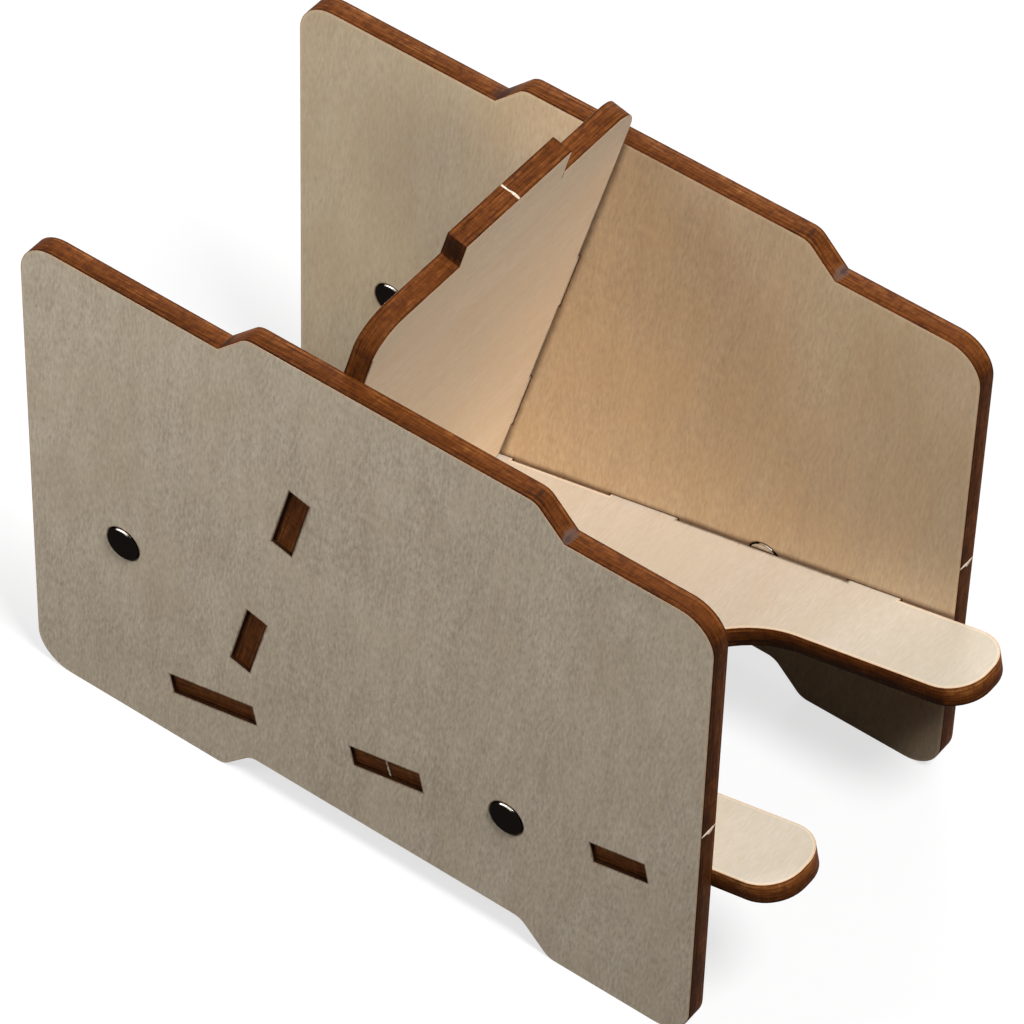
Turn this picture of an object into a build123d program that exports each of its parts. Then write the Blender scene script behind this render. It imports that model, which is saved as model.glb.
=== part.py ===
"""Card tray cut from 3 mm plywood: two side panels that stack, a sloping floor with a
finger scoop, a leaning back rest, and four disc magnets that couple trays side by side.

Frame: +X towards the finger tongues, +Y across, +Z up, in millimetres. The origin is under
the middle of the whole tray, on the surface that it stands on. A side view is drawn from
the middle of a side panel's length, which stands MID_X along X.
"""

from build123d import *
from math import cos, radians, sin
import os

# Sheet and laser cut
PLY = 3.0
TAB_PLAY = 0.05
TAB_RECESS = 0.45
EDGE_GAP = 0.25

# Side panels
LENGTH = 104.0
HEIGHT = 76.0
CORNER_R = 5.2
INNER_WIDTH = 52.0

# Stacking step on a side panel's top edge, and the recess under it that takes another's
STEP_CENTRE = 4.6
STEP_BASE = 51.5
STEP_HEIGHT = 4.3
STEP_ANGLE = 45.0
STEP_R = 2.5
STACK_PLAY = 0.2

# Floor: its top face passes FLOOR_HEIGHT above the feet at mid length and rises forwards
FLOOR_TILT = 12.8
FLOOR_HEIGHT = 18.1
FLOOR_REAR = -35.0
FLOOR_FRONT = 62.9
FLOOR_TABS = {-23.8: 13.6, 4.65: 10.9, 41.1: 8.1}
TONGUE_WIDTH = 11.6
TONGUE_R = 5.2
SCOOP_CENTRE = 37.3

# Back rest: its front face meets the floor at BACK_FOOT and leans forwards going up
BACK_FOOT = -19.2
BACK_LEAN = 14.6
BACK_LIFT = 0.1
BACK_TABS = {12.7: 11.0, 39.6: 10.9}
SHOULDER_HEIGHT = 77.2
SHOULDER_R = 4.5
CREST_HEIGHT = 81.3
CREST_WIDTH = 20.8

# Slot in the floor for the back rest's crest of the tray below
CREST_SLOT_CENTRE = 0.2
CREST_SLOT_LENGTH = 5.2
CREST_SLOT_PLAY = 0.4

# Magnets: one behind the back rest, one on the line of the floor's mid thickness
MAGNET_R = 2.5
MAGNET_PLAY = 0.05
MAGNET_LENGTH = 3.5
MAGNET_PROUD = 0.3
MAGNET_RIM = 0.25
REAR_MAGNET = (-37.0, 31.2)
FRONT_MAGNET_ALONG = 23.7

TILT = radians(FLOOR_TILT)
LEAN = radians(BACK_LEAN)
TONGUE_REACH = FLOOR_FRONT * cos(TILT) + PLY * sin(TILT) - LENGTH / 2
MID_X = -TONGUE_REACH / 2
BODY_WIDTH = INNER_WIDTH - 2 * EDGE_GAP
TAB_SPAN = INNER_WIDTH + 2 * (PLY - TAB_RECESS)
INNER_Y = INNER_WIDTH / 2


def on_floor(along, above=0.0):
    """Side-view point beside the floor's top face, along it from mid length."""
    x = along * cos(TILT) - above * sin(TILT)
    z = FLOOR_HEIGHT + along * sin(TILT) + above * cos(TILT)
    return x, z


def on_back_rest(up, forward=0.0):
    """Side-view point beside the back rest's front face, up it from the floor."""
    foot_x, foot_z = on_floor(BACK_FOOT)
    x = foot_x + up * sin(LEAN) + forward * cos(LEAN)
    z = foot_z + up * cos(LEAN) - forward * sin(LEAN)
    return x, z


FRONT_MAGNET = on_floor(FRONT_MAGNET_ALONG, -PLY / 2)
MAGNET_SPOTS = {"rear": REAR_MAGNET, "front": FRONT_MAGNET}
BACK_UPRIGHT = 90 - BACK_LEAN


# A side panel's outline: a rounded rectangle with a step on top and a recess below
with BuildPart() as left_side_panel:
    with BuildSketch(Plane((MID_X, -INNER_Y, 0), x_dir=(1, 0, 0), z_dir=(0, -1, 0))):
        with Locations((0, HEIGHT / 2)):
            RectangleRounded(LENGTH, HEIGHT, CORNER_R)
        with Locations((STEP_CENTRE, HEIGHT)):
            Trapezoid(STEP_BASE, STEP_HEIGHT, STEP_ANGLE, align=(Align.CENTER, Align.MIN))
        fillet(vertices().group_by(Axis.Y)[-1], STEP_R)
        recess_height = STEP_HEIGHT + STACK_PLAY
        with Locations((STEP_CENTRE, 0)):
            Trapezoid(
                STEP_BASE + 2 * STACK_PLAY,
                recess_height,
                STEP_ANGLE,
                align=(Align.CENTER, Align.MIN),
                mode=Mode.SUBTRACT,
            )
        recess_mouth = vertices().group_by(Axis.Y)[0].sort_by(Axis.X)[1:3]
        fillet(recess_mouth, STEP_R)
        recess_top = vertices().filter_by(lambda v: abs(v.Y - recess_height) < 0.01)
        fillet(recess_top.sort_by(Axis.X)[:2], STEP_R)
        for along, length in FLOOR_TABS.items():
            with Locations(on_floor(along, -PLY / 2)):
                Rectangle(
                    length + 2 * TAB_PLAY,
                    PLY + 2 * TAB_PLAY,
                    rotation=FLOOR_TILT,
                    mode=Mode.SUBTRACT,
                )
        for up, length in BACK_TABS.items():
            with Locations(on_back_rest(up, -PLY / 2)):
                Rectangle(
                    length + 2 * TAB_PLAY,
                    PLY + 2 * TAB_PLAY,
                    rotation=BACK_UPRIGHT,
                    mode=Mode.SUBTRACT,
                )
        with Locations(*MAGNET_SPOTS.values()):
            Circle(MAGNET_R + MAGNET_PLAY, mode=Mode.SUBTRACT)
    extrude(amount=PLY)

with BuildPart() as right_side_panel:
    mirror(left_side_panel.part, about=Plane.XZ)


# The floor, drawn on its own top face, with local X up the slope
floor_x, floor_z = on_floor(0)
floor_plane = Plane(
    (MID_X + floor_x, 0, floor_z),
    x_dir=(cos(TILT), 0, sin(TILT)),
    z_dir=(-sin(TILT), 0, cos(TILT)),
)
with BuildPart() as floor_panel:
    with BuildSketch(floor_plane):
        with Locations(((FLOOR_REAR + FLOOR_FRONT) / 2, 0)):
            Rectangle(FLOOR_FRONT - FLOOR_REAR, BODY_WIDTH)
        scoop_r = BODY_WIDTH / 2 - TONGUE_WIDTH
        with Locations((SCOOP_CENTRE, 0)):
            Circle(scoop_r, mode=Mode.SUBTRACT)
        with Locations(((SCOOP_CENTRE + FLOOR_FRONT) / 2, 0)):
            Rectangle(FLOOR_FRONT - SCOOP_CENTRE, 2 * scoop_r, mode=Mode.SUBTRACT)
        fillet(vertices().group_by(Axis.X)[-1], TONGUE_R)
        for along, length in FLOOR_TABS.items():
            with Locations((along, 0)):
                with GridLocations(0, (BODY_WIDTH + TAB_SPAN) / 2, 1, 2):
                    Rectangle(length, (TAB_SPAN - BODY_WIDTH) / 2)
        with Locations((CREST_SLOT_CENTRE, 0)):
            Rectangle(
                CREST_SLOT_LENGTH,
                CREST_WIDTH + 2 * CREST_SLOT_PLAY,
                mode=Mode.SUBTRACT,
            )
    extrude(amount=-PLY)


# The back rest, drawn on its own front face, with local Y up the lean
back_x, back_z = on_back_rest(0)
back_plane = Plane(
    (MID_X + back_x, 0, back_z),
    x_dir=(0, 1, 0),
    z_dir=(cos(LEAN), 0, -sin(LEAN)),
)
with BuildPart() as back_rest:
    with BuildSketch(back_plane):
        with Locations((0, BACK_LIFT)):
            Rectangle(
                BODY_WIDTH,
                SHOULDER_HEIGHT - BACK_LIFT,
                align=(Align.CENTER, Align.MIN),
            )
        fillet(vertices().group_by(Axis.Y)[-1], SHOULDER_R)
        with Locations((0, SHOULDER_HEIGHT)):
            Rectangle(
                CREST_WIDTH,
                CREST_HEIGHT - SHOULDER_HEIGHT,
                align=(Align.CENTER, Align.MIN),
            )
        for up, length in BACK_TABS.items():
            with Locations((0, up)):
                with GridLocations((BODY_WIDTH + TAB_SPAN) / 2, 0, 2, 1):
                    Rectangle((TAB_SPAN - BODY_WIDTH) / 2, length)
    extrude(amount=-PLY)


panels = {
    "left_side_panel": left_side_panel,
    "right_side_panel": right_side_panel,
    "floor_panel": floor_panel,
    "back_rest": back_rest,
}


# Disc magnets through the side panels, standing a little proud of both faces
magnets = {}
for side, outward in {"left": -1, "right": 1}.items():
    for place, (spot_x, spot_z) in MAGNET_SPOTS.items():
        outer_y = outward * (INNER_Y + PLY + MAGNET_PROUD)
        spot = Plane(
            (MID_X + spot_x, outer_y, spot_z),
            x_dir=(1, 0, 0),
            z_dir=(0, outward, 0),
        )
        with BuildPart() as magnet:
            with BuildSketch(spot):
                Circle(MAGNET_R)
            extrude(amount=-MAGNET_LENGTH)
            fillet(magnet.edges().filter_by(GeomType.CIRCLE), MAGNET_RIM)
        magnets[f"magnet_{side}_{place}"] = magnet


os.makedirs("parts", exist_ok=True)
for name, piece in {**panels, **magnets}.items():
    piece.part.label = name
    export_step(piece.part, f"parts/{name}.step")
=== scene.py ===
# %% [markdown]
# A card tray, cut by laser from 3 mm plywood and pushed together by tabs. The CAD model holds
# every size, so the lesson starts from it: each panel keeps its exact outline, and what is added
# here is the finish. That is pale rotary-cut veneer on the broad faces, wood that the laser has
# burnt brown on every cut, and four dark magnets.

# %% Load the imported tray
from math import cos, radians, sin

import bmesh
import bpy
from mathutils import Matrix, Quaternion, Vector


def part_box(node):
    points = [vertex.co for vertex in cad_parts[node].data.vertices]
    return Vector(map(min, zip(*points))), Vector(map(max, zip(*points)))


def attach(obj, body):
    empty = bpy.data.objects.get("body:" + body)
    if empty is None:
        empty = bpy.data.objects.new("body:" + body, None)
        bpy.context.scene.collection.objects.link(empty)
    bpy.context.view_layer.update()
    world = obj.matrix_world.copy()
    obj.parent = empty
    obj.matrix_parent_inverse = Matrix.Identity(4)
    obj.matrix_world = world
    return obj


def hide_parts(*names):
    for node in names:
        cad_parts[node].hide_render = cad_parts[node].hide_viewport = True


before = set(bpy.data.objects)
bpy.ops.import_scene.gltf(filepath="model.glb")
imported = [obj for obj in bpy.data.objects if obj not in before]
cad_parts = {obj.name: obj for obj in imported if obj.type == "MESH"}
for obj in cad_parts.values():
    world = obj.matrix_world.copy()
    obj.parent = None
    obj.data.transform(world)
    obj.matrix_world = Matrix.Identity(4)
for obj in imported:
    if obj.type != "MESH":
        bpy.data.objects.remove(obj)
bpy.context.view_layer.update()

MM = 0.001

# %% [markdown]
# The camera comes first, because every later look is judged through it. It stands far off with
# a long lens, so parallel edges stay almost parallel, as on a catalogue picture. It could be
# placed by eye. Here it is written as a photographer would say it: what it aims at, the way
# round, the height angle, a slight roll and the distance.

# %% Camera
AIM = Vector((-2.0, -1.25, 40.05)) * MM
AZIMUTH = radians(35.49)
ELEVATION = radians(46.97)
ROLL = radians(1.9)
DISTANCE = 767.5 * MM
LENS = 216.7


def direction(azimuth, elevation):
    """Unit vector from the tray towards a camera or lamp. Azimuth 0 is straight in front."""
    level = cos(elevation)
    return Vector((sin(azimuth) * level, -cos(azimuth) * level, sin(elevation)))


def link(thing):
    bpy.context.scene.collection.objects.link(thing)
    return thing


towards_camera = direction(AZIMUTH, ELEVATION)
camera = link(bpy.data.objects.new("camera", bpy.data.cameras.new("camera")))
camera.data.lens = LENS
camera.data.clip_start = 0.05
camera.location = AIM + towards_camera * DISTANCE
camera.rotation_mode = "QUATERNION"
level_view = (-towards_camera).to_track_quat("-Z", "Y")
camera.rotation_quaternion = level_view @ Quaternion((0, 0, 1), ROLL)
bpy.context.scene.camera = camera
print("camera at", [round(v, 4) for v in camera.location])

# %% [markdown]
# Node trees get long, so a few small helpers keep them readable. The first adds a node and fills
# its sockets, from numbers or from other nodes. The next ones shorten what recurs: sums, soft
# steps, mixes and noise. Another turns a colour as it is read off a screen into the linear light
# that shaders work in, and the last starts a material.

# %% Node helpers
def add(tree, kind, sockets=None, **settings):
    """Adds a node. A socket's value may be a number, a vector or another node's output."""
    node = tree.nodes.new("ShaderNode" + kind)
    for name, value in settings.items():
        setattr(node, name, value)
    for name, value in (sockets or {}).items():
        if isinstance(value, bpy.types.NodeSocket):
            tree.links.new(value, node.inputs[name])
        else:
            node.inputs[name].default_value = value
    return node


def calc(tree, operation, first, second=0.0, clamp=False):
    """A Math node's result."""
    node = add(tree, "Math", {0: first, 1: second}, operation=operation, use_clamp=clamp)
    return node.outputs[0]


def ramp(tree, value, low, high):
    """0 below low, 1 above high and a smooth step between them. Low may be the larger one."""
    sockets = {"Value": value, "From Min": low, "From Max": high}
    return add(tree, "MapRange", sockets, interpolation_type="SMOOTHSTEP").outputs[0]


def blend(tree, amount, first, second):
    """The first colour where amount is 0, and the second where it is 1."""
    sockets = {0: amount, 6: first, 7: second}
    return add(tree, "Mix", sockets, data_type="RGBA", clamp_factor=True).outputs[2]


def noise(tree, place, size, detail=2.0, roughness=0.5):
    """Noise whose blots measure about size, given in mm for each of the three directions."""
    scaled = add(tree, "VectorMath", {0: place, 1: size}, operation="DIVIDE").outputs[0]
    sockets = {"Vector": scaled, "Scale": 1.0, "Detail": detail, "Roughness": roughness}
    return add(tree, "TexNoise", sockets).outputs[0]


def tint(red, green, blue):
    """A screen colour, 0 to 255, as linear light with full alpha."""
    def linear(level):
        level = level / 255
        return level / 12.92 if level <= 0.04045 else ((level + 0.055) / 1.055) ** 2.4
    return (linear(red), linear(green), linear(blue), 1.0)


def new_material(name):
    """A material with its Principled shader already wired to the output."""
    material = bpy.data.materials.new(name)
    material.use_nodes = True
    tree = material.node_tree
    return material, tree, tree.nodes["Principled BSDF"]


print("screen grey 128 as linear light:", round(tint(128, 128, 128)[0], 3))

# %% [markdown]
# The studio is plain: a pale table that runs out to a white distance. The white comes from what
# the camera sees, not from stronger lamps. Light Path's camera ray picks it, with glossy and
# transmission rays beside it, so that the magnets mirror the same white. To every other ray the
# table is a dark grey, which keeps the underside of the tray as dark as it is on a real table.

# %% Studio world and table
def seen_directly(tree):
    """1 for rays that look at the table or the distance, straight or in a mirror."""
    rays = add(tree, "LightPath").outputs
    mirrored = calc(tree, "MAXIMUM", rays["Is Glossy Ray"], rays["Is Transmission Ray"])
    return calc(tree, "MAXIMUM", rays["Is Camera Ray"], mirrored)


AMBIENT = 0.035
AMBIENT_TINT = tint(238, 246, 255)
TABLE_SIDE = 3.0
TABLE_GREY = tint(36, 36, 38)
TABLE_PALE = tint(236, 236, 236)
TABLE_GLOW = 0.7

world = bpy.data.worlds.new("white_distance")
bpy.context.scene.world = world
world.use_nodes = True
tree = world.node_tree
backdrop = tree.nodes["Background"]
seen = seen_directly(tree)
white = (1.0, 1.0, 1.0, 1.0)
tree.links.new(blend(tree, seen, AMBIENT_TINT, white), backdrop.inputs["Color"])
strength = add(tree, "MapRange", {"Value": seen, "To Min": AMBIENT, "To Max": 1.0})
tree.links.new(strength.outputs[0], backdrop.inputs["Strength"])

table_mesh = bpy.data.meshes.new("table")
bm = bmesh.new()
bmesh.ops.create_grid(bm, x_segments=1, y_segments=1, size=TABLE_SIDE / 2)
bm.to_mesh(table_mesh)
bm.free()
table = link(bpy.data.objects.new("table", table_mesh))

table_finish = bpy.data.materials.new("pale_table")
table_finish.use_nodes = True
tree = table_finish.node_tree
tree.nodes.clear()
seen = seen_directly(tree)
grey = blend(tree, seen, TABLE_GREY, TABLE_PALE)
matt = add(tree, "BsdfDiffuse", {"Color": grey})
glow = add(tree, "Emission", {"Color": white})
share = calc(tree, "MULTIPLY", seen, TABLE_GLOW)
both = add(tree, "MixShader", {0: share, 1: matt.outputs[0], 2: glow.outputs[0]})
add(tree, "OutputMaterial", {"Surface": both.outputs[0]})
table_mesh.materials.append(table_finish)
bpy.context.scene.view_settings.view_transform = "Standard"
print("table side in m:", TABLE_SIDE)

# %% [markdown]
# Plywood looks soft under large lamps. The broad key lamp stands high on the right and lights
# the floor and the back rest. Two small lamps close by on the left light the near panel, and
# being close they fade across it, as on the real tray. One stands high behind, for the top
# edges, and one low behind, so that the tray isn't dark from the back. All are area lamps, so
# no shadow has a hard edge.

# %% Lamps
def lamp(name, azimuth, elevation, distance, side, watts):
    """A square area lamp that looks at the middle of the tray."""
    light = bpy.data.lights.new(name, "AREA")
    light.size = side
    light.energy = watts
    holder = link(bpy.data.objects.new(name, light))
    towards = direction(radians(azimuth), radians(elevation))
    holder.location = AIM + towards * distance
    holder.rotation_mode = "QUATERNION"
    holder.rotation_quaternion = (-towards).to_track_quat("-Z", "Y")


# Azimuth and elevation in degrees, distance and side in metres, and watts
LAMPS = {
    "key_lamp": (74, 62, 1.6, 0.4, 30.3),
    "left_lamp": (-36, 47.5, 0.36, 0.1, 0.225),
    "side_lamp": (-45, 25, 0.4, 0.12, 0.31),
    "rear_lamp": (215.5, 47, 1.6, 0.25, 2.8),
    "low_rear_lamp": (205, 16, 1.6, 0.5, 8.8),
}
for name, settings in LAMPS.items():
    lamp(name, *settings)

# %% [markdown]
# Each panel gets its own place for the pattern. Seen from the panel, x runs across the fibres,
# y along them and z through the sheet, out of its front, all in millimetres from the panel's
# middle. A Mapping node turns Object coordinates into that place, so one recipe for veneer and
# one for the burnt edge serve all four panels, however they lean. The front is the face that the
# laser entered: the top of the floor, the front of the back rest, and the far face of both side
# panels, because the two are the same shape cut twice.

# %% A panel's own directions
def merged(node_name):
    """A panel's CAD mesh with its triangles joined up and its flat faces made whole."""
    bm = bmesh.new()
    bm.from_mesh(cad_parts[node_name].data)
    bmesh.ops.remove_doubles(bm, verts=bm.verts, dist=0.001 * MM)
    bmesh.ops.dissolve_limit(
        bm, angle_limit=radians(0.1), verts=bm.verts, edges=bm.edges, delimit=set()
    )
    return bm


class Panel:
    """A panel's mesh, and the turn from the tray's directions to its own."""

    def __init__(self, name, fibre, front):
        self.name = name
        self.bm = merged(name)
        low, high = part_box(name)
        self.middle = (low + high) / 2
        facing = [face for face in self.bm.faces if face.normal.dot(front) > 0.5]
        self.out = max(facing, key=lambda face: face.calc_area()).normal.copy()
        self.fibre = (fibre - self.out * fibre.dot(self.out)).normalized()
        self.across = self.fibre.cross(self.out)
        self.turn = Matrix((self.across, self.fibre, self.out))

    def local(self, point):
        """A point of the tray in the panel's own millimetres."""
        return self.turn @ (point - self.middle) / MM

    def place(self, tree):
        """The Mapping node that gives a shader the panel's own place."""
        sockets = {
            "Vector": add(tree, "TexCoord").outputs["Object"],
            "Scale": Vector((1, 1, 1)) / MM,
            "Rotation": self.turn.to_euler(),
            "Location": self.turn @ -self.middle / MM,
        }
        return add(tree, "Mapping", sockets, vector_type="POINT").outputs[0]


FIBRE_SLANT = radians(7)
UPRIGHT_FIBRE = Vector((sin(FIBRE_SLANT), 0, cos(FIBRE_SLANT)))
CROSS_FIBRE = Vector((0, 1, 0))
panels = {
    "left_side_panel": Panel("left_side_panel", UPRIGHT_FIBRE, Vector((0, 1, 0))),
    "right_side_panel": Panel("right_side_panel", UPRIGHT_FIBRE, Vector((0, 1, 0))),
    "floor_panel": Panel("floor_panel", CROSS_FIBRE, Vector((0, 0, 1))),
    "back_rest": Panel("back_rest", CROSS_FIBRE, Vector((1, 0, 0))),
}
for name, panel in panels.items():
    print(name, len(panel.bm.faces), "faces, facing", [round(v, 3) for v in panel.out])

# %% [markdown]
# An arris is the edge between a broad face and a cut. Those of a panel's outline are open to
# the hand. Those of slots and holes are not, nor are those of the floor and the back rest where
# they meet a side panel. Sizes could tell them apart. Walking round the outline from its
# rearmost edge is surer, because it follows the mesh itself.

# %% Arrises of the outline
# The floor's and the back rest's arrises that lie further out than this are in a seam
SEAM_REACH = 25.5 * MM


def is_broad(face, panel):
    return abs(face.normal.dot(panel.out)) > 0.999


def outer_loop_edges(panel):
    """All arrises of a panel, and those of its outline, found by walking round it."""
    arrises = [e for e in panel.bm.edges if sum(is_broad(f, panel) for f in e.link_faces) == 1]
    found = set()
    for side in (-1, 1):
        ring = [e for e in arrises if side * panel.local(e.verts[0].co).z > 0]
        first = min(ring, key=lambda e: e.verts[0].co.x + e.verts[1].co.x)
        waiting = [first]
        while waiting:
            edge = waiting.pop()
            if edge in found:
                continue
            found.add(edge)
            beside = {e for v in edge.verts for e in v.link_edges}
            waiting.extend(beside.intersection(ring))
    return arrises, found


def in_seam(edge, panel):
    """Whether an arris of the floor or back rest meets a side panel."""
    if "side" in panel.name:
        return False
    one, other = (vert.co for vert in edge.verts)
    runs_along = abs((other - one).normalized().y) < 0.01
    behind_front = max(one.x, other.x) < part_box("left_side_panel")[1].x
    return runs_along and abs(one.y) > SEAM_REACH and behind_front


for name, panel in panels.items():
    arrises, outline = outer_loop_edges(panel)
    print(name, len(arrises), "arris edges,", len(outline), "of them in the outline")

# %% [markdown]
# A laser leaves a crisp arris, yet no real edge is a knife. Every arris is bevelled by a tenth
# of a millimetre: enough to catch a thin line of light. The half of the bevel next to the face
# is still veneer, and the half next to the cut is already burnt. Then a narrow band is inset
# along each outline, with a value that fades from 1 at the arris to 0. It tells the veneer where
# it is worn, and a second value tells it where it borders a slot, a hole or another panel.

# %% Softened arrises and rim bands
ARRIS = 0.1 * MM
RIM_BAND = 0.45 * MM
VENEER, CUT, CHIP = 0, 1, 2


def soften(panel):
    """Bevels the arrises, then insets the rim band and writes its two fading values."""
    bm = panel.bm
    arrises, outline = outer_loop_edges(panel)
    rim = bm.verts.layers.float.new("rim")
    slot_rim = bm.verts.layers.float.new("slot_rim")
    for edge in arrises:
        open_edge = edge in outline and not in_seam(edge, panel)
        for vert in edge.verts:
            vert[rim] = 1.0 if open_edge else 0.0
            vert[slot_rim] = 0.0 if open_edge else 1.0
    bmesh.ops.bevel(
        bm, geom=arrises, offset=ARRIS, offset_type="OFFSET", segments=2,
        profile=0.5, affect="EDGES", material=-1, clamp_overlap=True,
    )
    broad = [face for face in bm.faces if is_broad(face, panel)]
    bmesh.ops.inset_region(
        bm, faces=broad, thickness=RIM_BAND, use_boundary=True, use_even_offset=True
    )
    for face in broad:
        for vert in face.verts:
            vert[rim] = 0.0
            vert[slot_rim] = 0.0
    for face in bm.faces:
        face.material_index = VENEER if abs(face.normal.dot(panel.out)) > 0.7 else CUT
    return sum(face.material_index == CUT for face in bm.faces)


for name, panel in panels.items():
    print(name, soften(panel), "burnt faces")

# %% [markdown]
# Before the parts are pushed out of the sheet they hang on by tiny bridges, a quarter of a
# millimetre wide. Where a bridge snapped, a chip of clean wood is left on the burnt edge. It
# could be painted on, but it stands up a little, so it is made from the edge itself: two cuts
# across the edge, and the strip between them is pulled out and roughened.

# %% A chip made from the edge
CHIP_WIDTH = 0.24 * MM
CHIP_HEIGHT = 0.09 * MM
CHIP_SHIFT = 0.16 * MM
CHIP_KNOB = (0.6, 1.0, 1.0, 0.8)


def once(things):
    """The things without repeats, in the order in which they first come."""
    return list(dict.fromkeys(things))


def wall_at(bm, point, out):
    """The flat of the cut edge that faces out and lies nearest to the point."""
    facing = [face for face in bm.faces if face.normal.dot(out) > 0.99]
    return min(facing, key=lambda face: (face.calc_center_median() - point).length)


def break_off_chip(panel, point, out, shifts, widths=CHIP_KNOB):
    """Leaves a chip across the edge at the point, each of its rows shifted and widened."""
    bm = panel.bm
    run = panel.out.cross(out).normalized()
    wall = wall_at(bm, point, out)
    flat = wall.normal.copy()
    level = wall.calc_center_median().dot(flat)
    for side in (-1, 1):
        strip = [
            face for face in bm.faces
            if face.normal.dot(flat) > 0.999
            and abs(face.calc_center_median().dot(flat) - level) < 0.01 * MM
        ]
        near = [e for face in strip for e in face.edges]
        corners = [v for face in strip for v in face.verts]
        bmesh.ops.bisect_plane(
            bm, geom=once(strip + near + corners), dist=0.001 * MM,
            plane_co=point + run * side * CHIP_WIDTH / 2, plane_no=run,
        )
    strip = wall_at(bm, point, out)
    long_edges = [
        edge for edge in strip.edges
        if abs((edge.verts[0].co - edge.verts[1].co).dot(panel.out)) > MM
    ]
    cut = bmesh.ops.subdivide_edges(bm, edges=long_edges, cuts=len(shifts), use_grid_fill=True)
    rows = [v for v in cut["geom_inner"] if isinstance(v, bmesh.types.BMVert)]
    bands = [
        face for face in once(face for vert in rows for face in vert.link_faces)
        if face.normal.dot(flat) > 0.999
        and abs((face.calc_center_median() - point).dot(run)) < CHIP_WIDTH / 2
    ]
    raised = bmesh.ops.extrude_face_region(bm, geom=bands)["geom"]
    tops = [v for v in raised if isinstance(v, bmesh.types.BMVert)]
    reach = max(abs((v.co - point).dot(panel.out)) for v in tops)
    for vert in tops:
        depth = (vert.co - point).dot(panel.out) / reach
        step = min(int((depth + 1) / 2 * len(shifts)), len(shifts) - 1)
        side = 1 if (vert.co - point).dot(run) > 0 else -1
        widening = side * CHIP_WIDTH / 2 * (widths[step] - 1)
        vert.co += run * (shifts[step] * CHIP_SHIFT + widening)
        vert.co += out * CHIP_HEIGHT * (1 - depth ** 4)
    bmesh.ops.delete(bm, geom=bands, context="FACES")
    for face in once(f for v in tops for f in v.link_faces):
        face.material_index = CHIP
    return len(tops)


print("chip in mm:", round(CHIP_WIDTH / MM, 2), "wide,", round(CHIP_HEIGHT / MM, 2), "high")

# %% [markdown]
# The bridges sat where a part could best be held: in the middle of the crest, at one height on
# both front edges, and on the floor's middle tabs. The front chips tore wider than the others.
# Their places are found on the meshes, so each chip stays on its edge.

# %% Break-off chips
BACK = panels["back_rest"]
up_the_lean = BACK.across if BACK.across.z > 0 else -BACK.across
crest = max((v.co for v in BACK.bm.verts), key=lambda point: point.dot(up_the_lean))
crest_middle = BACK.middle + up_the_lean * (crest - BACK.middle).dot(up_the_lean)
print("crest chip:", break_off_chip(BACK, crest_middle, up_the_lean, (0.9, 0.4, -0.4, -0.9)))

FRONT_CHIP_HEIGHT = 38.9 * MM
FRONT_CHIP_SHIFTS = (0.3, 0.2, 1.6, 1.0, 0.4)
FRONT_CHIP_WIDTHS = (0.6, 0.8, 2.6, 2.2, 0.7)
for name in ("left_side_panel", "right_side_panel"):
    panel = panels[name]
    spot = Vector((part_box(name)[1].x, panel.middle.y, FRONT_CHIP_HEIGHT))
    corners = break_off_chip(
        panel, spot, Vector((1, 0, 0)), FRONT_CHIP_SHIFTS, FRONT_CHIP_WIDTHS
    )
    print(name, "chip:", corners)

FLOOR = panels["floor_panel"]
for side in (-1, 1):
    out = Vector((0, side, 0))
    reach = max(side * vert.co.y for vert in FLOOR.bm.verts)
    ends = [f.calc_center_median() for f in FLOOR.bm.faces if f.normal.dot(out) > 0.99]
    ends = sorted((end for end in ends if side * end.y > reach - ARRIS), key=lambda end: end.x)
    print("tab chip:", break_off_chip(FLOOR, ends[1], out, (0.9, -0.3, 0.5, -0.8)))

# %% [markdown]
# An effect that several finishes share is a node group. These helpers make a group with named
# sockets, place it in a tree, and add up uneven parts round a middle value, which is how most
# of wood's irregularity is mixed here.

# %% Group helpers
def new_group(name, inputs, outputs):
    """A shader node group. Inputs and outputs map a socket's name to its type."""
    group = bpy.data.node_groups.new(name, "ShaderNodeTree")
    for direction_word, sockets in (("INPUT", inputs), ("OUTPUT", outputs)):
        for socket, kind in sockets.items():
            group.interface.new_socket(
                name=socket, in_out=direction_word, socket_type="NodeSocket" + kind
            )
    start = group.nodes.new("NodeGroupInput")
    end = group.nodes.new("NodeGroupOutput")
    return group, start.outputs, end.inputs


def use(tree, group, sockets):
    """Places a group in a tree and gives back its outputs."""
    return add(tree, "Group", sockets, node_tree=group).outputs


def weighted(tree, base, parts):
    """Base plus each part's distance from its middle value times its weight."""
    total = base
    for value, weight in parts:
        swing = calc(tree, "SUBTRACT", value, 0.5)
        total = calc(tree, "ADD", total, calc(tree, "MULTIPLY", swing, weight))
    return total


print("group helpers:", new_group.__name__, use.__name__, weighted.__name__)

# %% [markdown]
# Fine veneer reads as a soft mottle more than as lines. Up close it is short fibres, a few
# times longer than wide, over slow cloudy changes from the growth rings that the peeling knife
# ran through. Each of those is a noise stretched to its real size in millimetres. They go into
# one shader group, because the veneer of every panel and the clean chips use it.

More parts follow.
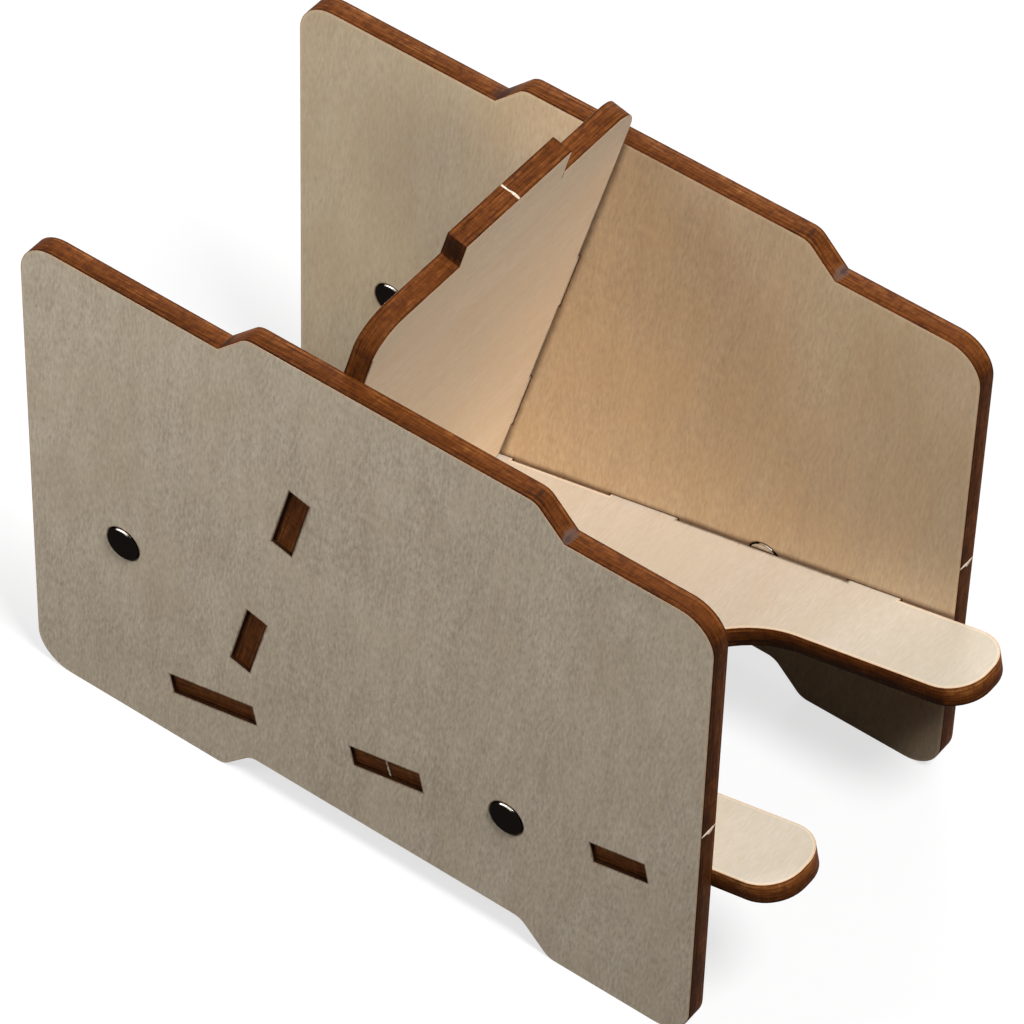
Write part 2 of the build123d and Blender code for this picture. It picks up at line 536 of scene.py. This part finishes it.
# %% Group: veneer grain
GRAIN, start, end = new_group(
    "veneer_grain",
    {"Place": "Vector", "Fibre Length": "Float"},
    {"Tone": "Float", "Warmth": "Float", "Height": "Float"},
)
along = add(GRAIN, "CombineXYZ", {0: 1.0, 1: start["Fibre Length"], 2: 1.0}).outputs[0]
place = add(GRAIN, "VectorMath", {0: start["Place"], 1: along}, operation="DIVIDE").outputs[0]
fibres = noise(GRAIN, place, (0.36, 1.3, 0.5), detail=2.5, roughness=0.55)
strands = noise(GRAIN, place, (1.5, 8.0, 1.2), detail=2.0)
clouds = noise(GRAIN, place, (9.0, 15.0, 3.0), detail=2.0)
pores = ramp(GRAIN, noise(GRAIN, place, (0.45, 0.9, 0.5), detail=1.0), 0.64, 0.76)
tone = weighted(GRAIN, 0.53, [(fibres, 1.9), (strands, 0.8), (clouds, 0.7)])
tone = calc(GRAIN, "SUBTRACT", tone, calc(GRAIN, "MULTIPLY", pores, 0.45), clamp=True)
GRAIN.links.new(tone, end["Tone"])
warm_patches = noise(GRAIN, place, (7.0, 12.0, 3.0), detail=2.0)
GRAIN.links.new(ramp(GRAIN, warm_patches, 0.35, 0.7), end["Warmth"])
height = weighted(GRAIN, 0.5, [(fibres, 1.0), (strands, 0.4)])
height = calc(GRAIN, "SUBTRACT", height, calc(GRAIN, "MULTIPLY", pores, 0.5))
GRAIN.links.new(height, end["Height"])
print("group:", GRAIN.name, len(GRAIN.nodes), "nodes")

# %% [markdown]
# The laser cooks the edge. Seen close, a cut edge shows the three plies as faint bands along the
# panel, streaks that run with them, blots where resin boiled out, and dark lines at the glue
# and at both arrises. Away from the side that the beam entered the wood gets darker, by as much
# as Fall says. The place's z says how deep in the sheet a point lies, so the bands follow every
# outline, round corners too, without a UV map. Burn is how dark the whole cut is, and Deep adds
# to it where the beam was slow and where shade is painted on a wall.

# %% Group: laser char
HALF_PLY = 1.5
VENEER_PLY = 0.75
CHAR, start, end = new_group(
    "laser_char",
    {"Place": "Vector", "Burn": "Float", "Deep": "Float", "Fall": "Float"},
    {"Color": "Color", "Roughness": "Float", "Height": "Float"},
)
place = start["Place"]
through = add(CHAR, "SeparateXYZ", {0: place}).outputs["Z"]
streaks = noise(CHAR, place, (5.0, 5.0, 0.2), detail=3.0, roughness=0.65)
blots = noise(CHAR, place, (1.1, 1.1, 0.8), detail=2.0)
beam = noise(CHAR, place, (0.18, 0.18, 2.6), detail=1.0)
heat = noise(CHAR, place, (9.0, 9.0, 7.0), detail=1.0)
wander = calc(CHAR, "MULTIPLY", calc(CHAR, "SUBTRACT", blots, 0.5), 0.5)
ragged = calc(CHAR, "ADD", through, wander)
depth = calc(CHAR, "ABSOLUTE", ragged)
glue_line = calc(CHAR, "ABSOLUTE", calc(CHAR, "SUBTRACT", depth, VENEER_PLY))
glue = ramp(CHAR, glue_line, 0.16, 0.04)
outer_ply = ramp(CHAR, depth, VENEER_PLY, 1.0)
arris = ramp(CHAR, calc(CHAR, "ABSOLUTE", through), 1.1, 1.35)
fall = calc(CHAR, "MULTIPLY", calc(CHAR, "DIVIDE", through, -HALF_PLY), start["Fall"])
uneven = [(streaks, 0.95), (blots, 0.45), (beam, 0.25), (heat, 0.3)]
burn = weighted(CHAR, start["Burn"], uneven)
BURNS = ((glue, 0.1), (outer_ply, -0.05), (arris, 0.24), (start["Deep"], 0.22), (fall, 1.0))
for mask, weight in BURNS:
    burn = calc(CHAR, "ADD", burn, calc(CHAR, "MULTIPLY", mask, weight))
burn = calc(CHAR, "ADD", burn, 0.0, clamp=True)
shades = add(CHAR, "ValToRGB", {"Fac": burn})
CHAR_SHADES = (
    (0.05, tint(172, 118, 66)),
    (0.28, tint(132, 80, 39)),
    (0.5, tint(101, 55, 23)),
    (0.74, tint(76, 39, 13)),
    (1.0, tint(38, 20, 8)),
)
stops = shades.color_ramp.elements
for position, colour in CHAR_SHADES[1:-1]:
    stops.new(position)
for stop, (position, colour) in zip(stops, CHAR_SHADES):
    stop.position = position
    stop.color = colour
PLUM = tint(72, 38, 30)
resin = calc(CHAR, "MULTIPLY", ramp(CHAR, blots, 0.56, 0.7), 0.35)
CHAR.links.new(blend(CHAR, resin, shades.outputs["Color"], PLUM), end["Color"])
CHAR.links.new(calc(CHAR, "ADD", calc(CHAR, "MULTIPLY", burn, 0.25), 0.5), end["Roughness"])
ridges = weighted(CHAR, 0.5, [(streaks, 1.0), (beam, 0.6), (blots, 0.5)])
CHAR.links.new(ridges, end["Height"])
print("group:", CHAR.name, len(CHAR.nodes), "nodes")

# %% [markdown]
# Where the beam slows down at a corner it scorches a spot, grey at its heart. A spot is a soft
# ellipsoid with a ragged outline. The same group, drawn out long and thin, makes the short slit
# that the beam left past one corner of the crest, and drawn very wide with no ragged outline it
# makes the patches of painted light and shade on the far panel and the floor.

# %% Group: scorch mark
MARK, start, end = new_group(
    "scorch_mark",
    {"Place": "Vector", "Centre": "Vector", "Size": "Vector", "Ragged": "Float"},
    {"Mask": "Float"},
)
offset = add(MARK, "VectorMath", {0: start["Place"], 1: start["Centre"]}, operation="SUBTRACT")
scaled = add(MARK, "VectorMath", {0: offset.outputs[0], 1: start["Size"]}, operation="DIVIDE")
distance = add(MARK, "VectorMath", {0: scaled.outputs[0]}, operation="LENGTH").outputs["Value"]
fray = noise(MARK, start["Place"], (0.5, 0.5, 0.5), detail=2.0)
fray = calc(MARK, "MULTIPLY", calc(MARK, "SUBTRACT", fray, 0.5), start["Ragged"])
MARK.links.new(ramp(MARK, calc(MARK, "ADD", distance, fray), 1.0, 0.35), end["Mask"])
print("group:", MARK.name, len(MARK.nodes), "nodes")

# %% [markdown]
# A mark covers the colour under it, as a burn does. A patch of painted light or shade multiplies
# it, so the grain goes on through it. Both are a centre and a size in the panel's own
# millimetres, and both are placed further down, when every corner is known.

# %% Marks and patches of painted light
def lay_marks(tree, place, colour, marks, ragged):
    """Lays marks over a colour. A mark is (centre, size, strength, tint) in the panel's mm."""
    for centre, size, strength, mark_tint in marks:
        sockets = {"Place": place, "Centre": centre, "Size": size, "Ragged": ragged}
        mask = calc(tree, "MULTIPLY", use(tree, MARK, sockets)["Mask"], strength)
        colour = blend(tree, mask, colour, mark_tint)
    return colour


def with_painted_light(tree, place, colour, painted_patch):
    """Multiplies the colour round a centre, as painted light or shade. A patch is (centre, size,
    gains).
    """
    centre, size, gains = painted_patch
    sockets = {"Place": place, "Centre": centre, "Size": size, "Ragged": 0.0}
    mask = use(tree, MARK, sockets)["Mask"]
    sockets = {0: mask, 6: colour, 7: (*gains, 1.0)}
    return add(tree, "Mix", sockets, data_type="RGBA", blend_type="MULTIPLY").outputs[2]


print("marks and drifts share the group", MARK.name)

# %% [markdown]
# Where a burnt edge was pushed against a side panel it left a line of soot, and the gap of the
# seam lies in shade, so the line is soot and painted shade, which spreads about a millimetre up
# the panel. It could be drawn by hand along each seam. Here the side panel asks for the place of
# the neighbour that it touches, so the line follows that panel's thickness, whatever its slope.
# It wanders a little, is thinner under the edge itself, and fades out at both ends of the seam.

# %% Soot and painted shade along the seams
# Each neighbour, with the two ends of its seam in its own millimetres
SEAMS = [(FLOOR, -49.0, 49.0), (BACK, -36.0, 41.0)]
SOOT_AND_SHADE_WIDTH = 1.1
SOOT_AND_SHADE_WANDER = 0.5
UNDER_EDGE = {"From Min": -0.3, "From Max": 0.0, "To Min": 0.4, "To Max": 1.0}


def soot_and_shade_line(tree, inner, neighbour, low, high):
    """Soot and painted shade: 1 where a neighbour's burnt edge touches, from low to high mm along
    it.
    """
    place = neighbour.place(tree)
    parts = add(tree, "SeparateXYZ", {0: place}).outputs
    wander = noise(tree, place, (3.0, 3.0, 3.0), detail=2.0)
    off = calc(tree, "SUBTRACT", calc(tree, "ABSOLUTE", parts["Z"]), HALF_PLY)
    off = weighted(tree, off, [(wander, SOOT_AND_SHADE_WANDER)])
    line = calc(tree, "MULTIPLY", ramp(tree, off, SOOT_AND_SHADE_WIDTH, 0.0), inner)
    thinned = add(tree, "MapRange", {"Value": off, **UNDER_EDGE}).outputs[0]
    line = calc(tree, "MULTIPLY", line, thinned)
    first_end = ramp(tree, parts["X"], low, low + 4)
    last_end = ramp(tree, parts["X"], high, high - 1)
    return calc(tree, "MULTIPLY", line, calc(tree, "MULTIPLY", first_end, last_end))


print("seams along a side panel:", [neighbour.name for neighbour, low, high in SEAMS])

# %% [markdown]
# The veneer's colour runs from a darker to a paler cream with the grain's tone, and patches of
# painted light and shade multiply it. Heat toasts it honey beside every cut, with a paler halo
# inside that line, and brown beside slots and seams; along the seams of the floor and the back
# rest that brown band is wider, and is also painted shade of the gap. The bump is a hundredth of
# a millimetre, so it only shows where light rakes. Soot with painted seam shade, and marks, are
# laid over all this.

# %% Veneer material
HEAT_HONEY = tint(216, 164, 112)
HALO_PALE = tint(246, 232, 210)
SLOT_TOAST_AND_SEAM_SHADE = tint(92, 56, 32)
SOOT_AND_SHADE_BROWN = tint(98, 52, 20)


def veneer(name, panel, pale, dark, warm, fibre_length, marks=(), painted_light_patches=()):
    """The broad faces of one panel."""
    material, tree, shader = new_material(name)
    place = panel.place(tree)
    grain = use(tree, GRAIN, {"Place": place, "Fibre Length": fibre_length})
    colour = blend(tree, grain["Tone"], dark, pale)
    colour = blend(tree, calc(tree, "MULTIPLY", grain["Warmth"], 0.35), colour, warm)
    # Patches of painted light and shade multiply the colour
    for painted_patch in painted_light_patches:
        colour = with_painted_light(tree, place, colour, painted_patch)
    rim = add(tree, "Attribute", attribute_name="rim").outputs["Fac"]
    slot_rim = add(tree, "Attribute", attribute_name="slot_rim").outputs["Fac"]
    uneven = calc(tree, "MULTIPLY", calc(tree, "SUBTRACT", grain["Tone"], 0.5), 0.25)
    rim = calc(tree, "SUBTRACT", rim, uneven)
    slot_rim = calc(tree, "SUBTRACT", slot_rim, uneven)
    halo = calc(tree, "MULTIPLY", ramp(tree, rim, 0.15, 0.5), 0.3)
    colour = blend(tree, halo, colour, HALO_PALE)
    toast = calc(tree, "MULTIPLY", ramp(tree, rim, 0.6, 1.0), 0.6)
    colour = blend(tree, toast, colour, HEAT_HONEY)
    is_side = "side" in panel.name
    # Beside slots and holes this brown is heat toast; on the floor's and back rest's seams the
    # band is wider and is also painted shade of the gap
    toast_and_seam_shade = ramp(tree, slot_rim, 0.5 if is_side else 0.2, 1.0)
    colour = blend(tree, calc(tree, "MULTIPLY", toast_and_seam_shade, 0.65), colour, SLOT_TOAST_AND_SEAM_SHADE)
    if is_side:
        through = add(tree, "SeparateXYZ", {0: place}).outputs["Z"]
        inward = calc(tree, "MULTIPLY", through, -1.0 if panel.middle.y > 0 else 1.0)
        inner = ramp(tree, inward, 1.0, 1.4)
        # Soot along the seams, with painted shade from their gaps
        for neighbour, low, high in SEAMS:
            soot_and_shade = soot_and_shade_line(tree, inner, neighbour, low, high)
            colour = blend(tree, calc(tree, "MULTIPLY", soot_and_shade, 0.6), colour, SOOT_AND_SHADE_BROWN)
    colour = lay_marks(tree, place, colour, marks, 0.5)
    tree.links.new(colour, shader.inputs["Base Color"])
    roughness = calc(tree, "SUBTRACT", 0.74, calc(tree, "MULTIPLY", grain["Tone"], 0.16))
    tree.links.new(roughness, shader.inputs["Roughness"])
    shader.inputs["Specular IOR Level"].default_value = 0.03
    bump = add(tree, "Bump", {"Height": grain["Height"], "Strength": 0.6, "Distance": 0.008 * MM})
    tree.links.new(bump.outputs[0], shader.inputs["Normal"])
    return material


print("veneer takes the groups", GRAIN.name, "and", MARK.name)

# %% [markdown]
# The cut edge takes the char group straight, with the scorch marks laid over it. Its roughness
# grows with the burn, and its bump is stronger than the veneer's, because the beam leaves fine
# ridges. How dark a panel's cut is, and how much darker towards its back, differs with the
# speed that each was cut at. The floor's walls stand in shade under the tongues, so its strong
# fall towards the underside is partly painted shade.

# %% Cut edge material
BURN_AND_FALL = {
    "left_side_panel": (0.6, 0.15),
    "right_side_panel": (0.52, 0.1),
    # The floor's larger fall is partly painted shade under the tongues
    "floor_panel": (0.52, 0.3),
    "back_rest": (0.55, 0.02),
}


def cut_edge(name, panel, marks=()):
    """The laser-cut edges of one panel."""
    material, tree, shader = new_material(name)
    place = panel.place(tree)
    deep_burn_and_shade = add(tree, "Attribute", attribute_name="deep_burn_and_shade").outputs["Fac"]
    burn, fall = BURN_AND_FALL[panel.name]
    char = use(tree, CHAR, {"Place": place, "Burn": burn, "Deep": deep_burn_and_shade, "Fall": fall})
    colour = lay_marks(tree, place, char["Color"], marks, 0.8)
    tree.links.new(colour, shader.inputs["Base Color"])
    tree.links.new(char["Roughness"], shader.inputs["Roughness"])
    shader.inputs["Specular IOR Level"].default_value = 0.04
    bump = add(tree, "Bump", {"Height": char["Height"], "Strength": 0.7, "Distance": 0.03 * MM})
    tree.links.new(bump.outputs[0], shader.inputs["Normal"])
    return material


print("burn and fall:", BURN_AND_FALL)

# %% [markdown]
# A chip shows wood that no beam has touched, so it is the palest colour on the tray. It has the
# veneer's grain, and is rougher, because it was torn and not cut.

# %% Chip material
TORN_SHADE = tint(196, 168, 140)
TORN_PALE = tint(238, 222, 202)


def fresh_wood(name, panel):
    """The torn wood of a break-off chip."""
    material, tree, shader = new_material(name)
    grain = use(tree, GRAIN, {"Place": panel.place(tree), "Fibre Length": 1.0})
    colour = blend(tree, grain["Tone"], TORN_SHADE, TORN_PALE)
    tree.links.new(colour, shader.inputs["Base Color"])
    roughness = calc(tree, "SUBTRACT", 0.85, calc(tree, "MULTIPLY", grain["Tone"], 0.1))
    tree.links.new(roughness, shader.inputs["Roughness"])
    bump = add(tree, "Bump", {"Height": grain["Height"], "Distance": 0.04 * MM})
    tree.links.new(bump.outputs[0], shader.inputs["Normal"])
    return material


print("torn wood, linear:", [round(level, 2) for level in TORN_PALE[:3]])

# %% [markdown]
# The straight front edges of the side panels, the walls round the scoop and, darkest, the walls
# of the slots are made darker. On the front edges and the slot walls that is partly the burn of a
# slower beam and partly painted shade; on the scoop walls, which stand in shade under the tongues,
# it is painted shade. A value on the vertices says so. On the side panels it is read from the way
# that each wall faces: 0 up to where its normal's x is 0.8, and 1 where it looks straight forward,
# so it fades round the corners.

# %% Deep burns and painted shade on the walls
SLOT_BURN_AND_SHADE = 1.6
SCOOP_SHADE = 1.1
SCOOP_REACH = 14.5 * MM


def darken_walls(panel):
    """Writes the value deep_burn_and_shade, burn and painted shade, on the vertices of a panel's
    walls.
    """
    deep_burn_and_shade = panel.bm.verts.layers.float.new("deep_burn_and_shade")
    slot_rim = panel.bm.verts.layers.float["slot_rim"]
    for face in panel.bm.faces:
        if face.material_index == CUT:
            for vert in face.verts:
                if "side" in panel.name:
                    # Front edges and slot walls: deeper burn and painted shade
                    vert[deep_burn_and_shade] = max(vert[deep_burn_and_shade], face.normal.x * 5 - 4)
                    vert[deep_burn_and_shade] = SLOT_BURN_AND_SHADE if vert[slot_rim] > 0.5 else vert[deep_burn_and_shade]
                elif panel is FLOOR and abs(vert.co.y) < SCOOP_REACH and vert.co.x > 0:
                    # The scoop walls under the tongues get painted shade
                    vert[deep_burn_and_shade] = SCOOP_SHADE
    return sum(vert[deep_burn_and_shade] > 0 for vert in panel.bm.verts)


for name, panel in panels.items():
    print(name, darken_walls(panel), "vertices burnt deeper")

# %% [markdown]
# The scorched corners are read from the panels themselves. The sharp inner corners along the
# top edge show as edges through the sheet where the wall turns inward. From each foot of the
# stacking step the slope rises as much as the step is high. Every mark is then a few numbers in
# millimetres beside such a corner. The crest's two upright walls are scorched from foot to top.

# %% Scorched corners
# Only corners above this height belong to a top edge
TOP_EDGE = 60 * MM


def inner_corners(panel):
    """Middles of the sharp inner corners of the top edge, from rear to front or near to far."""
    found = []
    bm = merged(panel.name)
    for edge in bm.edges:
        start_point, end_point = (vert.co for vert in edge.verts)
        through = abs((end_point - start_point).normalized().dot(panel.out)) > 0.99
        if through and edge.calc_face_angle_signed() < -radians(30):
            middle = (start_point + end_point) / 2
            if middle.z > TOP_EDGE:
                found.append(middle)
    bm.free()
    return sorted(found, key=lambda point: (point.x, point.y))


SCORCH_GREY = tint(112, 96, 88)
SCORCH_VIOLET = tint(58, 48, 52)
SCORCH_PLUM = tint(50, 36, 34)
SCORCH_DARK = tint(40, 26, 20)


def step_marks(panel, rear_size):
    """The four marks on the corners of a side panel's stacking step."""
    rear, front = inner_corners(panel)
    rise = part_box(panel.name)[1].z - rear.z
    slope = Vector((-rise, 0, rise))
    shift = Vector((0, 1 if panel.middle.y > 0 else -1, 0)) * MM
    back_a_little = Vector((-0.45, 0, 0)) * MM
    local = panel.local
    return [
        (local(rear + Vector((0.6, 0, 0.6)) * MM), rear_size, 0.8, SCORCH_PLUM),
        (local(front + slope * 0.05 + shift * 0.1), (1.0, 1.0, 1.9), 0.5, SCORCH_GREY),
        (local(front + slope * 0.02 + shift * 0.5), (0.55, 0.55, 1.0), 0.6, SCORCH_VIOLET),
        (local(front + slope + back_a_little), (0.5, 0.6, 1.25), 0.65, SCORCH_DARK),
    ]


EDGE_MARKS = {
    "left_side_panel": step_marks(panels["left_side_panel"], (1.2, 1.2, 1.6)),
    "right_side_panel": step_marks(panels["right_side_panel"], (2.6, 2.6, 2.4)),
    "floor_panel": [],
    "back_rest": [],
}
for foot in inner_corners(BACK):
    wall = BACK.local(foot + up_the_lean * 2.2 * MM)
    EDGE_MARKS["back_rest"].append((wall, (2.8, 0.7, 2.6), 0.8, SCORCH_DARK))
print("edge marks:", {name: len(marks) for name, marks in EDGE_MARKS.items()})

# %% [markdown]
# The veneer has fewer marks: the slit that the beam left past the far foot of the crest, and
# the tan crescent beside the front magnet of the near panel.

# %% Marks on the veneer
MAGNET_CRESCENT_TAN = tint(150, 100, 60)
FACE_MARKS = {name: [] for name in panels}
far_foot = inner_corners(BACK)[-1]
slit = BACK.local(far_foot + BACK.out * HALF_PLY * MM - up_the_lean * 0.7 * MM)
FACE_MARKS["back_rest"].append((slit, (1.1, 0.16, 0.8), 0.9, SCORCH_DARK))
low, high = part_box("magnet_left_front")
beside = (low + high) / 2 + Vector((-1.75, 0, -1.65)) * MM
crescent = panels["left_side_panel"].local(beside)
FACE_MARKS["left_side_panel"].append((crescent, (0.95, 0.95, 3.0), 0.75, MAGNET_CRESCENT_TAN))
print("face marks:", {name: len(marks) for name, marks in FACE_MARKS.items()})

# %% [markdown]
# Two panels get patches of painted light and shade. On the far panel's inner face a painted
# shade lies behind the back rest, cooler and darker, and darker still close to the rest, and a
# lighter painted shade lies at its front end and at its foot under the floor. The floor gets
# painted light towards its tongues, paler and cooler, where they stand clear of the panels. Each
# line holds a centre in the tray's millimetres, a size across the fibres, along them and through
# the sheet, and the gains of the three colours.

# %% Patches of painted light and shade
FAR_PANEL = panels["right_side_panel"]
PAINTED_LIGHT = {name: [] for name in panels}
for panel, centre, size, gains in (
    (FAR_PANEL, (-42, 26, 45), (34.0, 60.0, 4.0), (0.86, 0.94, 1.01)),
    (FAR_PANEL, (-31, 26, 56), (22.0, 24.0, 2.5), (0.84, 0.84, 0.87)),
    (FAR_PANEL, (47, 26, 48), (28.0, 80.0, 2.5), (0.93, 0.93, 0.94)),
    (FAR_PANEL, (40, 26, 6), (26.0, 24.0, 2.5), (0.84, 0.83, 0.84)),
    (FLOOR, (50, 0, 31), (30.0, 60.0, 6.0), (1.09, 1.13, 1.16)),
):
    PAINTED_LIGHT[panel.name].append((panel.local(Vector(centre) * MM), size, gains))
print("drifts:", {name: len(painted_light_patches) for name, painted_light_patches in PAINTED_LIGHT.items()})

# %% [markdown]
# Now each panel gets its three finishes and becomes an object. All faces are shaded smooth, and
# edges that turn by more than 25 degrees are marked sharp, so arcs look round while the broad
# faces stay flat. The piece replaces its CAD node and rides on the tray's one body.

# %% Finish the panels
SHARP = radians(25)
# Pale cream, dark cream and warm patches, and how much the fibres are drawn out
VENEER_TONES = {
    "left_side_panel": (tint(249, 233, 209), tint(205, 186, 161), tint(230, 209, 176), 1.0),
    "right_side_panel": (tint(239, 217, 184), tint(216, 189, 156), tint(234, 201, 157), 1.3),
    "floor_panel": (tint(205, 192, 176), tint(193, 179, 159), tint(197, 180, 155), 1.2),
    "back_rest": (tint(250, 231, 206), tint(235, 213, 185), tint(242, 215, 181), 1.3),
}


def finish_panel(name, panel):
    """Makes the mesh an object with its materials, in place of the CAD node."""
    bm = panel.bm
    for face in bm.faces:
        face.smooth = True
    for edge in bm.edges:
        broad = [face for face in edge.link_faces if is_broad(face, panel)]
        turning = edge.is_manifold and edge.calc_face_angle() > SHARP
        edge.smooth = not (turning or len(broad) == 1)
    mesh = bpy.data.meshes.new(name)
    bm.to_mesh(mesh)
    marks, painted_light_patches = FACE_MARKS[name], PAINTED_LIGHT[name]
    mesh.materials.append(veneer(name + "_veneer", panel, *VENEER_TONES[name], marks, painted_light_patches))
    mesh.materials.append(cut_edge(name + "_cut", panel, EDGE_MARKS[name]))
    mesh.materials.append(fresh_wood(name + "_chip", panel))
    piece = link(bpy.data.objects.new(name + "_ply", mesh))
    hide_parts(name)
    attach(piece, "root")
    loose = sum(not edge.is_manifold for edge in bm.edges)
    print(piece.name, len(mesh.polygons), "faces,", loose, "open edges")


for name, panel in panels.items():
    finish_panel(name, panel)

# %% [markdown]
# The magnets are nickel discs. A mirror shows only what is around it, so nearly all their look is
# the shader: the flat faces are painted near-black, a painted reflection of dark surroundings,
# with hairline turning marks, and a short bright arc on top of the rim is a painted glint of a
# lamp above. The front magnets' inner faces are bright nickel and mirror the floor. The CAD
# shape is right, so the nodes stay and only get this material. A mask by the distance from the
# magnet's own axis tells face from rim.

# %% Magnets
# Near-black metal with turning marks: a painted reflection of dark surroundings
DARK_REFLECTION_BLACK = tint(15, 12, 11)
DARK_REFLECTION_GREY = tint(26, 22, 20)
# The painted glint of a lamp above, on top of the rim
PAINTED_GLINT_NICKEL = tint(240, 232, 222)
BRIGHT_NICKEL = tint(226, 220, 212)


def magnet_nickel(name, bright_inside):
    """Nickel painted near-black as a dark reflection, with a painted glint. Its inner face may be
    bright.
    """
    material, tree, shader = new_material(name + "_coat")
    low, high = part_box(name)
    middle = (low + high) / 2
    sockets = {
        "Vector": add(tree, "TexCoord").outputs["Object"],
        "Scale": Vector((1, 1, 1)) / MM,
        "Location": -middle / MM,
    }
    place = add(tree, "Mapping", sockets, vector_type="POINT").outputs[0]
    parts = add(tree, "SeparateXYZ", {0: place}).outputs
    flat = add(tree, "CombineXYZ", {0: parts["X"], 2: parts["Z"]}).outputs[0]
    radius = add(tree, "VectorMath", {0: flat}, operation="LENGTH").outputs["Value"]
    haze = noise(tree, place, (0.8, 0.8, 0.8), detail=3.0)
    outwards = add(tree, "CombineXYZ", {0: radius}).outputs[0]
    rings = noise(tree, outwards, (0.09, 1.0, 1.0), detail=1.0)
    rim = ramp(tree, calc(tree, "ADD", radius, calc(tree, "MULTIPLY", haze, 0.1)), 2.34, 2.46)
    # Where the painted glint sits: on top of the rim
    painted_glint_arc = ramp(tree, calc(tree, "DIVIDE", parts["Z"], radius), 0.9, 0.97)
    colour = blend(tree, rings, DARK_REFLECTION_BLACK, DARK_REFLECTION_GREY)
    colour = blend(tree, calc(tree, "MULTIPLY", rim, painted_glint_arc), colour, PAINTED_GLINT_NICKEL)
    if bright_inside:
        inward = calc(tree, "MULTIPLY", parts["Y"], -1.0 if middle.y > 0 else 1.0)
        fresh = calc(tree, "MULTIPLY", ramp(tree, inward, 1.3, 1.6), ramp(tree, radius, 2.42, 2.3))
        colour = blend(tree, fresh, colour, BRIGHT_NICKEL)
    tree.links.new(colour, shader.inputs["Base Color"])
    shader.inputs["Metallic"].default_value = 1.0
    shader.inputs["Specular Tint"].default_value = (0.5, 0.5, 0.5, 1.0)
    roughness = calc(tree, "ADD", calc(tree, "MULTIPLY", haze, 0.14), 0.08)
    tree.links.new(roughness, shader.inputs["Roughness"])
    grooves = weighted(tree, 0.5, [(haze, 0.6), (rings, 0.4)])
    bump = add(tree, "Bump", {"Height": grooves, "Strength": 0.3, "Distance": 0.006 * MM})
    tree.links.new(bump.outputs[0], shader.inputs["Normal"])
    return material


for name in ("left_rear", "left_front", "right_rear", "right_front"):
    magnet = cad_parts["magnet_" + name]
    magnet_finish = magnet_nickel("magnet_" + name, "front" in name)
    for number in range(len(magnet.data.materials)):
        magnet.material_slots[number].link = "OBJECT"
        magnet.material_slots[number].material = magnet_finish
    print(magnet.name, "coated with", magnet_finish.name)
